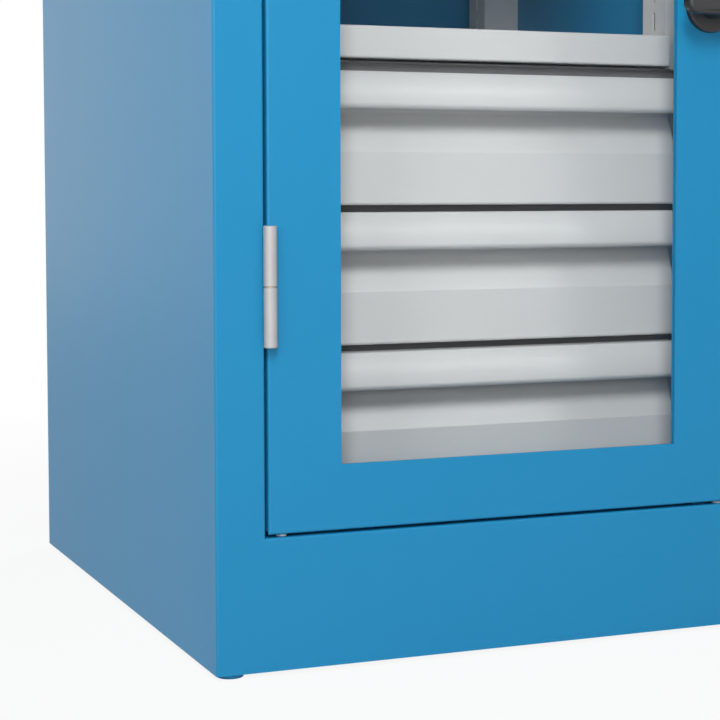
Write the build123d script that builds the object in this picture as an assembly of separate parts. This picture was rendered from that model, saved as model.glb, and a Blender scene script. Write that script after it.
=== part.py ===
"""Heavy-duty storage cabinet of folded sheet steel.

One flush door with a clear window hangs on two lift-off barrel hinges. Behind it
are three drawers on full-extension runners, with adjustable shelves above them.
Millimetres, +Z up, the front faces -Y. The origin is on the floor, under the
middle of the whole cabinet.
"""

import os

from build123d import *

# Body
width = 500.0
depth = 600.0
height = 1000.0
sheet = 1.5
fold = 2.0
hidden_fold = 0.0
stile = 39.5
stile_return = 25.0
rear_flange = 20.0
plinth_height = 103.5
rail_height = 60.0
stop_setback = 24.0
stop_lip = 10.0
floor_flange = 20.0

# Levelling feet and the brackets that carry them
foot_inset = 15.0
foot_radius = 10.7
foot_show = 4.0
stud_radius = 4.0
stud_length = 32.0
bracket_sheet = 3.0
bracket_length = 58.0
bracket_upright = 30.0
nut_radius = 7.0
nut_height = 8.0

# Door
door_gap = 2.5
door_thickness = 22.0
door_lip = 12.0
corner_relief = 2.5
door_stile = 59.5
door_rail = 51.5
pane_thickness = 3.0
pane_overlap = 12.0
pane_clearance = 0.3
seal_thickness = 2.0
seal_setback = 2.0
seal_width = 8.0
retainer_sheet = 1.2
retainer_setback = 1.0

# Hinges
hinge_inset = 190.5
knuckle_length = 46.0
knuckle_radius = 5.3
knuckle_gap = 0.3
knuckle_shift = 0.4
leaf_sheet = 1.2
leaf_depth = 20.0
pin_radius = 3.0
pin_hold = 36.0
pin_rise = 30.0
pin_headroom = 1.0
running_fit = 0.05
washer_thickness = 0.5
washer_margin = 1.5

# Lock, handle and locking rods
rose_radius = 22.0
rose_thickness = 6.0
hub_radius = 11.0
hub_neck_radius = 8.5
hub_collar = 14.0
handle_reach = 36.0
handle_length = 78.0
handle_width = 19.0
handle_thickness = 13.0
handle_chamfer = 3.0
cylinder_radius = 7.0
cylinder_length = 12.0
key_slot_width = 1.6
key_slot_height = 7.0
key_slot_depth = 6.0
spindle_side = 8.0
spindle_socket = 9.0
spindle_swing = 0.5
case_width = 30.0
case_height = 100.0
case_thickness = 17.0
rod_radius = 4.0
rod_clearance = 1.0
rod_setback = 10.0
rod_stop = 14.0
rod_inset = 2.0
guide_width = 16.0
guide_height = 12.0
guide_wall = 3.0
guide_inset = 40.0

# Pads between door and body
glide_radius = 4.0
glide_height = 1.8
glide_inset = 55.0
glide_setback = 8.0
buffer_radius = 4.0
buffer_thickness = 1.7
buffer_inset = 120.0

# Slotted uprights
upright_depth = 39.5
upright_width = 40.0
upright_front = 125.0
upright_rear = 510.0
slot_width = 4.0
slot_height = 16.0
slot_pitch = 25.0
slot_margin = 30.0

# Shelves and their hooks
side_clearance = 2.0
shelf_setback = 110.0
shelf_depth = 455.0
shelf_height = 27.0
shelf_hem = 12.0
shelf_above_drawers = 11.8
shelf_step_count = 9
hook_thickness = 3.4
hook_ledge = 12.0
hook_height = 6.0
hook_drop = 8.0
hook_tail = 10.0
hook_play = 0.3

# Drawers
drawer_count = 3
drawer_pitch = 116.25
drawer_height = 110.4
drawer_setback = 100.0
drawer_above_plinth = 20.8
front_sheet = 1.2
front_foot = 14.0
front_crease = 66.3
recess_depth = 16.0
recess_height = 33.5
nose_flat = 4.8
nose_top_radius = 3.0
nose_top_turn = 48.0
nose_front_radius = 37.0
curl_radius = 4.0
curl_turn = 200.0
box_sheet = 1.0
box_depth = 443.0
box_below = 5.0
box_height = 85.0

# Cross rails that tie the front uprights above each drawer
rail_overlap = 15.0
rail_flange = 5.0
rail_clearance = 2.0

# Runners
runner_sheet = 1.2
runner_thickness = 12.7
runner_height = 45.0
runner_length = 435.0
runner_below_top = 62.0
runner_gap = 0.5
runner_start = 4.0

# Places worked out from the sizes above
left = -width / 2
front = (handle_reach - depth) / 2
back = front + depth
base = foot_show
top = base + height
stile_edge = left + stile
opening = width - 2 * stile
plinth_top = base + plinth_height
floor_top = plinth_top + sheet
rail_bottom = top - rail_height
stop_middle = front + stop_setback + sheet / 2
door_edge = stile_edge + door_gap
door_width = opening - 2 * door_gap
door_bottom = plinth_top + door_gap
door_top = rail_bottom - door_gap
door_height = door_top - door_bottom
door_middle = (door_top + door_bottom) / 2
door_back = front + door_thickness
window_width = door_width - 2 * door_stile
window_height = door_height - 2 * door_rail
axis_x = door_edge + knuckle_shift
axis_y = front - knuckle_radius - knuckle_gap
hinge_heights = {"lower": door_bottom + hinge_inset, "upper": door_top - hinge_inset}
lock_x = -door_edge - door_stile / 2
rod_y = front + rod_setback
upright_face = left + sheet + upright_depth
front_half = -upright_face - side_clearance
box_half = -upright_face - runner_thickness
drawer_plane = front + drawer_setback
drawer_bottoms = [plinth_top + drawer_above_plinth + drawer_pitch * n for n in range(drawer_count)]
recess_middle = drawer_plane + recess_depth
box_front = recess_middle + front_sheet / 2
shelf_bottom = drawer_bottoms[-1] + drawer_height + shelf_above_drawers
shelf_heights = {"lower": shelf_bottom, "upper": shelf_bottom + shelf_step_count * slot_pitch}
upright_middles = [front + upright_front + upright_width / 2, front + upright_rear + upright_width / 2]

across = Plane.YZ
along = Plane(origin=(0, 0, 0), x_dir=(1, 0, 0), z_dir=(0, -1, 0))


def block(x_span, y_span, z_span):
    """A rectangular solid between two limits on each axis."""
    size = [high - low for low, high in (x_span, y_span, z_span)]
    middle = [(high + low) / 2 for low, high in (x_span, y_span, z_span)]
    return Pos(*middle) * Box(*size)


def rod(x, y, z_span, radius):
    """An upright cylinder between two heights."""
    low, high = z_span
    return Pos(x, y, (low + high) / 2) * Cylinder(radius, high - low)


def bar(x, y_span, z, radius):
    """A cylinder that lies front to back between two depths."""
    low, high = y_span
    return Pos(x, (low + high) / 2, z) * Rot(90, 0, 0) * Cylinder(radius, high - low)


def sheet_profile(points, thickness, outer_radius=fold):
    """The section of a folded sheet, whose middle line runs through the points."""
    sharp = outer_radius < thickness
    line = Polyline(*points) if sharp else FilletPolyline(*points, radius=outer_radius - thickness / 2)
    return trace(line, line_width=thickness)


def fold_upright(points, z_span, outer_radius=fold):
    """Sheet folded in plan and as tall as the span."""
    low, high = z_span
    return Pos(0, 0, low) * extrude(sheet_profile(points, sheet, outer_radius), high - low)


def fold_across(points, x_span, outer_radius=fold):
    """Sheet folded in side view and as wide as the span."""
    low, high = x_span
    return extrude(across.offset(low) * sheet_profile(points, sheet, outer_radius), high - low)


def fold_along(points, y_span, thickness, outer_radius=fold):
    """Sheet folded in front view and as deep as the span."""
    low, high = y_span
    return extrude(along.offset(-high) * sheet_profile(points, thickness, outer_radius), high - low)


def ring(inner, outer, y_span):
    """A rectangular frame round the window, between two offsets from its edge."""
    low, high = y_span
    size = window_width, window_height
    band = Rectangle(*(side + 2 * outer for side in size))
    if inner is not None:
        band -= Rectangle(*(side + 2 * inner for side in size))
    return Pos(0, 0, door_middle) * extrude(along.offset(-high) * band, high - low)


def side_panel():
    """Left wall in one sheet with the front stile and the rear flange."""
    wall = left + sheet / 2
    face = front + sheet / 2
    rear = [(wall, back - sheet / 2), (left + rear_flange, back - sheet / 2)]
    flange = stile_edge - sheet / 2
    beside_plinth = [(stile_edge, face), (wall, face)] + rear
    beside_door = [(flange, front + stile_return), (flange, face), (wall, face)] + rear
    beside_rail = [(wall, front + fold)] + rear
    panel = fold_upright(beside_plinth, (base, plinth_top))
    panel += fold_upright(beside_door, (plinth_top, rail_bottom))
    return panel + fold_upright(beside_rail, (rail_bottom, top - sheet))


def back_panel():
    """Flat rear sheet inside the rear flanges of the sides, clear of their folds."""
    edge = left + fold
    return block((edge, -edge), (back - 2 * sheet, back - sheet), (base, top - sheet))


def rod_hole(z):
    """Cutter for the hole that a locking rod enters at one height."""
    return rod(lock_x, rod_y, (z - fold, z + fold), rod_radius + rod_clearance)


def top_panel():
    """Top sheet folded down to the front rail, with the door stop behind it."""
    face = front + sheet / 2
    roof = [(face, top - sheet / 2), (back, top - sheet / 2)]
    shelf = rail_bottom + sheet / 2
    stop = [(stop_middle, rail_bottom - stop_lip), (stop_middle, shelf), (face, shelf)]
    plain = [(face, rail_bottom)] + roof
    panel = fold_across(stop + roof, (stile_edge, -stile_edge))
    panel += fold_across(plain, (left, stile_edge))
    panel += fold_across(plain, (-stile_edge, -left))
    return panel - rod_hole(shelf)


def plinth():
    """Front base rail with the ledge and the door stop along its top."""
    face = front + sheet / 2
    ledge = plinth_top - sheet / 2
    points = [(face, base), (face, ledge), (stop_middle, ledge), (stop_middle, plinth_top + stop_lip)]
    return fold_across(points, (stile_edge, -stile_edge)) - rod_hole(ledge)


def floor_panel():
    """Floor sheet with its side edges turned down against the walls."""
    edge = left + 1.5 * sheet
    level = floor_top - sheet / 2
    low = floor_top - floor_flange
    points = [(edge, low), (edge, level), (-edge, level), (-edge, low)]
    return fold_along(points, (front + stop_setback + sheet, back - 2 * sheet), sheet)


def foot_bracket(rear):
    """Angle in a left corner of the base, with the weld nut of the foot."""
    wall = left + sheet + bracket_sheet / 2
    level = base + bracket_sheet / 2
    points = [(wall, base + bracket_upright), (wall, level), (stile_edge, level)]
    inner = back - 2 * sheet if rear else front + fold
    span = (inner - bracket_length, inner) if rear else (inner, inner + bracket_length)
    x, y = foot_place(rear)
    angle = fold_along(points, span, bracket_sheet, hidden_fold)
    nut = Pos(x, y, base + bracket_sheet) * extrude(RegularPolygon(nut_radius, 6), nut_height)
    bore = rod(x, y, (0, base + stud_length), stud_radius + running_fit)
    return angle + nut - bore


def foot_place(rear):
    """Where a left levelling foot stands."""
    y = back - foot_inset if rear else front + foot_inset
    return left + foot_inset, y


def foot(rear):
    """Levelling foot: a round disc on its stud."""
    x, y = foot_place(rear)
    return rod(x, y, (0, foot_show), foot_radius) + rod(x, y, (foot_show, stud_length), stud_radius)


def upright(middle):
    """Left slotted channel that stands against the wall."""
    near, far = middle - upright_width / 2, middle + upright_width / 2
    web = upright_face - sheet / 2
    wall = left + sheet
    lips = near + sheet / 2, far - sheet / 2
    points = [(wall, lips[0]), (web, lips[0]), (web, lips[1]), (wall, lips[1])]
    channel = fold_upright(points, (floor_top, top - sheet), hidden_fold)
    lowest, highest = floor_top + slot_margin, top - slot_margin
    first = int((lowest - shelf_bottom) // slot_pitch) + 1
    last = int((highest - shelf_bottom) // slot_pitch)
    cutter = Box(3 * sheet, slot_width, slot_height)
    return channel - [
        Pos(web, middle, shelf_bottom - hook_drop + slot_pitch * n) * cutter for n in range(first, last)
    ]


def shelf(bottom):
    """Folded shelf: deep lips hemmed at the front and rear, plain lips at the sides."""
    near = front + shelf_setback + sheet / 2
    far = near + shelf_depth - sheet
    low, high = bottom + sheet / 2, bottom + shelf_height - sheet / 2
    plain = [(near, low), (near, high), (far, high), (far, low)]
    lips = [(near + shelf_hem, low)] + plain + [(far - shelf_hem, low)]
    side = front_half - sheet / 2
    sides = [(-side, bottom), (-side, high), (side, high), (side, bottom)]
    tray = fold_across(lips, (fold - front_half, front_half - fold))
    return tray + fold_along(sides, (near + fold, far - fold), sheet)


def shelf_hook(bottom, middle):
    """Left hook: a tongue through a slot, a tail behind it and a ledge for the shelf."""
    slot_low = bottom - hook_drop - slot_height / 2
    behind = upright_face - sheet - hook_play
    outline = Polyline(
        (upright_face + hook_ledge, bottom),
        (upright_face + hook_ledge, bottom - hook_height),
        (upright_face, slot_low),
        (behind, slot_low),
        (behind, slot_low - hook_tail),
        (behind - hook_height, slot_low - hook_tail),
        (behind - hook_height, bottom - hook_height),
        (upright_face, bottom - hook_height),
        (upright_face, bottom),
        close=True,
    )
    plate = extrude(along * make_face(outline), hook_thickness / 2, both=True)
    return Pos(0, middle, 0) * plate


def cross_rail(n):
    """Shallow channel on the front uprights, between the tray of drawer n and what is above."""
    over = drawer_bottoms[n] + drawer_pitch + box_below if n + 1 < drawer_count else shelf_bottom
    low = drawer_bottoms[n] + box_below + box_height + rail_clearance + sheet / 2
    high = over - rail_clearance - sheet / 2
    web = front + upright_front - sheet / 2
    tip = web - rail_flange
    half = rail_overlap - upright_face
    return fold_across([(tip, low), (web, low), (web, high), (tip, high)], (-half, half), hidden_fold)


def runner_member(reach, tip, inset, z, y_span):
    """Left runner channel: its web stands at reach and its flanges run to tip."""
    high = runner_height / 2 - inset - runner_sheet / 2
    web, end = upright_face + reach, upright_face + tip
    points = [(end, z + high), (web, z + high), (web, z - high), (end, z - high)]
    return fold_along(points, y_span, runner_sheet, hidden_fold)


def runners(n):
    """The fixed, middle and inner channels of drawer n, each as a left and right pair."""
    z = drawer_bottoms[n] + drawer_height - runner_below_top
    start = box_front + runner_start
    span = (start, start + runner_length)
    step = runner_sheet + runner_gap
    half = runner_sheet / 2
    tip = runner_thickness - runner_gap
    fixed = runner_member(half, tip, 0, z, span)
    middle = runner_member(half + step, tip, step, z, span)
    inner = runner_member(runner_thickness - half, 2 * step + half, 2 * step, z, span)
    return [pair(member) for member in (fixed, middle, inner)]


def drawer_front(n):
    """Formed drawer front: foot, flat face, crease, finger recess and rolled handle."""
    half = front_sheet / 2
    low, high = drawer_bottoms[n] + half, drawer_bottoms[n] + drawer_height - half
    face = drawer_plane + half
    crease = high + half - front_crease
    body = FilletPolyline(
        (drawer_plane + front_foot, low),
        (face, low),
        (face, crease),
        (recess_middle, high + half - recess_height),
        (recess_middle, high),
        (drawer_plane - nose_flat, high),
        radius=fold,
    )
    nose_top = JernArc(body @ 1, body % 1, nose_top_radius, nose_top_turn)
    nose_front = JernArc(nose_top @ 1, nose_top % 1, nose_front_radius, 90 - nose_top_turn)
    curl = JernArc(nose_front @ 1, nose_front % 1, curl_radius, curl_turn)
    path = Wire(body.edges() + [nose_top, nose_front, curl])
    section = across.offset(-front_half) * trace(path, line_width=front_sheet)
    return extrude(section, 2 * front_half)


def drawer_box(n):
    """Open drawer tray, hollowed from the top."""
    bottom = drawer_bottoms[n] + box_below
    y_span = (box_front, box_front + box_depth)
    tray = block((-box_half, box_half), y_span, (bottom, bottom + box_height))
    return offset(tray, -box_sheet, openings=tray.faces().sort_by(Axis.Z)[-1])


def door_panel():
    """Folded door pan with a lip round the back, the window and the lock's holes."""
    outer = block((door_edge, -door_edge), (front, door_back), (door_bottom, door_top))
    outer = fillet(outer.faces().sort_by(Axis.Y)[0].edges(), fold)
    rim = Rectangle(door_width - 2 * door_lip, door_height - 2 * door_lip)
    inside = Rectangle(door_width - 2 * sheet, door_height - 2 * sheet)
    hollow = extrude(along.offset(sheet - door_back) * inside, door_thickness - 2 * sheet)
    mouth = extrude(along.offset(-door_back) * rim, sheet)
    panel = outer - Pos(0, 0, door_middle) * (hollow + mouth)
    panel -= ring(None, 0, (front, front + sheet))
    notch = Box(2 * corner_relief, 2 * (door_thickness - fold), 2 * corner_relief)
    corners = [(x, z) for x in (door_edge, -door_edge) for z in (door_bottom, door_top)]
    panel -= [Pos(x, door_back, z) * notch for x, z in corners]
    panel -= bar(lock_x, (front, front + sheet), door_middle, hub_neck_radius)
    return panel - rod(lock_x, rod_y, (door_bottom, door_top), rod_radius + rod_clearance)


def window_pieces():
    """The pane, the seal in front of it and the retainer behind it."""
    seal_back = front + sheet + seal_thickness
    pane_back = seal_back + pane_thickness
    seal = ring(seal_setback, seal_setback + seal_width, (front + sheet, seal_back))
    pane = ring(None, pane_overlap, (seal_back, pane_back))
    inner = pane_overlap + pane_clearance
    outer = inner + retainer_sheet
    retainer = ring(inner, outer, (front + sheet, pane_back))
    retainer += ring(retainer_setback, outer, (pane_back, pane_back + retainer_sheet))
    return pane, seal, retainer


def hinge(z):
    """Frame knuckle, door knuckle, pin and washer of the hinge at one height."""
    split = washer_thickness / 2
    bottom, roof = z - split - knuckle_length, z + split + knuckle_length
    bore = pin_radius + running_fit
    leaf_y = (axis_y, front + leaf_depth)
    frame = rod(axis_x, axis_y, (bottom, z - split), knuckle_radius)
    frame += block((stile_edge, stile_edge + leaf_sheet), leaf_y, (bottom, z - split))
    frame -= rod(axis_x, axis_y, (z - split - pin_hold, z - split), bore)
    leaf = rod(axis_x, axis_y, (z + split, roof), knuckle_radius)
    leaf += block((door_edge - leaf_sheet, door_edge), leaf_y, (z + split, roof))
    leaf -= rod(axis_x, axis_y, (z + split, z + split + pin_rise + pin_headroom), bore)
    pin = rod(axis_x, axis_y, (z - split - pin_hold, z + split + pin_rise), pin_radius)
    washer = rod(axis_x, axis_y, (z - split, z + split), knuckle_radius - washer_margin)
    washer -= rod(axis_x, axis_y, (z - split, z + split), bore)
    return frame, leaf, pin, washer


def rose():
    """Round plate on the door that guides the handle's hub."""
    plate = bar(lock_x, (front - rose_thickness, front), door_middle, rose_radius)
    return plate - bar(lock_x, (front - rose_thickness, front), door_middle, hub_radius + running_fit)


def turn_handle():
    """Two-armed turning handle: a bevelled grip on a waisted hub."""
    grip_front = front - handle_reach
    grip_back = grip_front + handle_thickness
    grip = extrude(along.offset(-grip_back) * SlotOverall(handle_length, handle_width), handle_thickness)
    grip = Pos(lock_x, 0, door_middle) * chamfer(grip.faces().sort_by(Axis.Y)[0].edges(), handle_chamfer)
    waist = Polyline(
        (0, front),
        (hub_radius, front),
        (hub_radius, front - hub_collar),
        (hub_neck_radius, grip_back),
        (hub_neck_radius, grip_back - handle_thickness / 2),
        (0, grip_back - handle_thickness / 2),
        close=True,
    )
    hub = Pos(lock_x, 0, door_middle) * revolve(make_face(waist), Axis.Y)
    seat = bar(lock_x, (grip_front, grip_front + cylinder_length), door_middle, cylinder_radius + running_fit)
    return grip + hub - seat - spindle_bar()


def spindle_bar():
    """Square spindle from the handle's hub through the door into the lock case."""
    half = spindle_side / 2
    span = (front - spindle_socket, front + sheet + case_thickness)
    z_span = (door_middle - half, door_middle + half)
    return block((lock_x - half, lock_x + half), span, z_span)


def lock_cylinder():
    """Key plug in the middle of the handle."""
    face = front - handle_reach
    plug = bar(lock_x, (face, face + cylinder_length), door_middle, cylinder_radius)
    slot_x = (lock_x - key_slot_width / 2, lock_x + key_slot_width / 2)
    slot_z = (door_middle - key_slot_height / 2, door_middle + key_slot_height / 2)
    return plug - block(slot_x, (face, face + key_slot_depth), slot_z)


def lock_case():
    """Closed lock box behind the door, bored for the rods and the spindle."""
    half, rise = case_width / 2, case_height / 2
    span = (front + sheet, front + sheet + case_thickness)
    z_span = (door_middle - rise, door_middle + rise)
    case = block((lock_x - half, lock_x + half), span, z_span)
    case = chamfer(case.faces().sort_by(Axis.Y)[-1].edges(), fold)
    case -= rod(lock_x, rod_y, z_span, rod_radius + running_fit)
    swing = spindle_side * 2**0.5 / 2 + spindle_swing
    return case - bar(lock_x, span, door_middle, swing)


def rod_guide(z):
    """Eye on the door's inner face that a locking rod slides through."""
    half, rise = guide_width / 2, guide_height / 2
    span = (front + sheet, rod_y + rod_radius + guide_wall)
    eye = block((lock_x - half, lock_x + half), span, (z - rise, z + rise))
    return eye - rod(lock_x, rod_y, (z - rise, z + rise), rod_radius + running_fit)


def pair(shape):
    """A left piece and its mirror image on the right."""
    return Compound(children=[shape, mirror(shape, about=Plane.YZ)])


def save(name, *shapes):
    """Write one node, which may hold several like solids."""
    solids = [solid for shape in shapes for solid in shape.solids()]
    node = solids[0] if len(solids) == 1 else Compound(children=solids)
    export_step(node, f"parts/{name}.step")


def save_body():
    """Write the fixed carcass and what is fastened to it."""
    side = side_panel()
    save("left_side_panel", side)
    save("right_side_panel", mirror(side, about=Plane.YZ))
    save("back_panel", back_panel())
    save("top_panel", top_panel())
    save("plinth", plinth())
    save("floor_panel", floor_panel())
    save("foot_brackets", *(pair(foot_bracket(rear)) for rear in (False, True)))
    for end, rear in (("front", False), ("rear", True)):
        stand = foot(rear)
        save(f"{end}_left_foot", stand)
        save(f"{end}_right_foot", mirror(stand, about=Plane.YZ))
    for end, middle in zip(("front", "rear"), upright_middles):
        post = upright(middle)
        save(f"{end}_left_upright", post)
        save(f"{end}_right_upright", mirror(post, about=Plane.YZ))
    for level, bottom in shelf_heights.items():
        save(f"{level}_shelf", shelf(bottom))
        save(f"{level}_shelf_hooks", *(pair(shelf_hook(bottom, middle)) for middle in upright_middles))
    save("cross_rails", *(cross_rail(n) for n in range(drawer_count)))


def save_pads():
    """Write the glides under the door and the buffers it closes on."""
    glide_z = (plinth_top, plinth_top + glide_height)
    save("door_glides", pair(rod(left + glide_inset, front + glide_setback, glide_z, glide_radius)))
    stop_y = (front + stop_setback - buffer_thickness, front + stop_setback)
    levels = (plinth_top + stop_lip - buffer_radius, rail_bottom - stop_lip + buffer_radius)
    save("door_buffers", *(pair(bar(left + buffer_inset, stop_y, z, buffer_radius)) for z in levels))


def save_door():
    """Write the door, its window, its hinges and its lock."""
    save("door_panel", door_panel())
    for name, piece in zip(("window_pane", "window_seal", "pane_retainer"), window_pieces()):
        save(name, piece)
    washers = []
    for level, z in hinge_heights.items():
        frame, leaf, pin, washer = hinge(z)
        save(f"{level}_frame_knuckle", frame)
        save(f"{level}_door_knuckle", leaf)
        save(f"{level}_hinge_pin", pin)
        washers.append(washer)
    save("hinge_washers", *washers)
    save("handle_rose", rose())
    save("turn_handle", turn_handle())
    save("handle_spindle", spindle_bar())
    save("lock_cylinder", lock_cylinder())
    save("lock_case", lock_case())
    save("rod_guides", rod_guide(door_bottom + guide_inset), rod_guide(door_top - guide_inset))
    save("upper_lock_rod", rod(lock_x, rod_y, (door_middle + rod_stop, door_top - rod_inset), rod_radius))
    save("lower_lock_rod", rod(lock_x, rod_y, (door_bottom + rod_inset, door_middle - rod_stop), rod_radius))


def save_drawers():
    """Write the drawers from the lowest up, each with its runners."""
    for n in range(drawer_count):
        name = f"drawer_{n + 1}"
        fixed, middle, inner = runners(n)
        save(f"{name}_front", drawer_front(n))
        save(f"{name}_box", drawer_box(n))
        save(f"{name}_fixed_runners", fixed)
        save(f"{name}_middle_runners", middle)
        save(f"{name}_inner_runners", inner)


os.makedirs("parts", exist_ok=True)
save_body()
save_pads()
save_door()
save_drawers()
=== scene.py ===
"""Finished look of a heavy-duty storage cabinet of folded sheet steel.

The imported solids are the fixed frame: metres, +Z up, the front faces -Y. Each class
below stands for one sub-assembly: it builds the pieces that want a finer form than
the solids have, and gives the other nodes their finish.
"""

import logging
import math
from collections.abc import Sequence
from dataclasses import dataclass
from enum import Enum

import bmesh
import bpy
from bmesh.types import BMEdge, BMesh, BMVert
from bpy.types import Material, Node, NodeSocket, NodeTree, Object
from mathutils import Matrix, Vector


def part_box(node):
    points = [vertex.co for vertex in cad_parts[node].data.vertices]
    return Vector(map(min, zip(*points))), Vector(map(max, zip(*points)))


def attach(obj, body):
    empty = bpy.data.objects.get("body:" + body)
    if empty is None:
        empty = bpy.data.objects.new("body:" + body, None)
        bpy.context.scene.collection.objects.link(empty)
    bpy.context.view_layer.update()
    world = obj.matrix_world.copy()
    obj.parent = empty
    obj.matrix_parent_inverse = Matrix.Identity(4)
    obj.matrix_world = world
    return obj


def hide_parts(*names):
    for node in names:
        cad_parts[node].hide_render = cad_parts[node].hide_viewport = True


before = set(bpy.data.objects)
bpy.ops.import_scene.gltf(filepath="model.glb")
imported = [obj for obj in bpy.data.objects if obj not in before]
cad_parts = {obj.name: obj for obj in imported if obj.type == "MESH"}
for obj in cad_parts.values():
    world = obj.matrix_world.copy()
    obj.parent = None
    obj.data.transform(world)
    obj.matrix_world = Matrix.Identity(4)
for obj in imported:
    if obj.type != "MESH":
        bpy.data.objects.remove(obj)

log = logging.getLogger("cabinet")

# Lengths are in metres and angles in degrees.
# Points within TOUCH of a plane lie in it, and a full turn closes within MERGE_DISTANCE.
TOUCH = 1e-5
MERGE_DISTANCE = 1e-7

# Faces that meet at more than SMOOTH_ANGLE show an edge, and CUT_EDGE_ANGLE tells a sheet's cut
# edges from its bends.
SMOOTH_ANGLE = 40.0
CUT_EDGE_ANGLE = 60.0

Colour = tuple[float, float, float]
Point = tuple[float, float, float]
Outline = Sequence[tuple[float, float]]


class Facing(Enum):
    """The way that the axis of a turned piece runs."""

    UP = (0.0, 0.0, 1.0)
    DOWN = (0.0, 0.0, -1.0)
    FRONT = (0.0, -1.0, 0.0)
    BACK = (0.0, 1.0, 0.0)


class Level(Enum):
    """The two heights at which hinges, shelves and rods come in pairs."""

    LOWER = "lower"
    UPPER = "upper"


class Corner(Enum):
    """The four corners of the body, each with a foot and an upright."""

    FRONT_LEFT = "front_left"
    FRONT_RIGHT = "front_right"
    REAR_LEFT = "rear_left"
    REAR_RIGHT = "rear_right"


class NodeBench:
    """Adds nodes to one node tree and joins them up."""

    def __init__(self, tree: NodeTree) -> None:
        """Keep the tree that the nodes go into."""
        self.tree = tree

    def feed(self, socket: NodeSocket, value: object) -> None:
        """Link an input to an output socket, or set it to a value.

        Args:
            socket: The input.
            value: An output socket, a number or a colour.
        """
        if isinstance(value, NodeSocket):
            self.tree.links.new(value, socket)
        else:
            socket.default_value = value

    def add(self, kind: str, **inputs: object) -> Node:
        """Add a node and feed its inputs.

        Args:
            kind: The node's Blender type.
            inputs: What each input is fed with, named with _ for a space.

        Returns:
            The new node.
        """
        node = self.tree.nodes.new(kind)
        for name, value in inputs.items():
            self.feed(node.inputs[name.replace("_", " ")], value)
        return node

    def math(self, operation: str, first: object, second: object) -> NodeSocket:
        """Add a Math node.

        Args:
            operation: Blender's name of the sum.
            first: A number or an output socket.
            second: A number or an output socket.

        Returns:
            The node's value.
        """
        node = self.tree.nodes.new("ShaderNodeMath")
        node.operation = operation
        self.feed(node.inputs[0], first)
        self.feed(node.inputs[1], second)
        return node.outputs["Value"]

    def noise(self, vector: NodeSocket, scale: object, detail: float) -> NodeSocket:
        """Add a noise from 0 to 1, with a scale in cycles per metre, and return its value."""
        node = self.add("ShaderNodeTexNoise", Vector=vector, Scale=scale, Detail=detail)
        return node.outputs["Fac"]

    def swing(self, noise: NodeSocket, reach: NodeSocket) -> NodeSocket:
        """Return a noise from 0 to 1 as a swing about 0 with a reach from end to end."""
        return self.math("MULTIPLY", self.math("SUBTRACT", noise, 0.5), reach)


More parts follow.
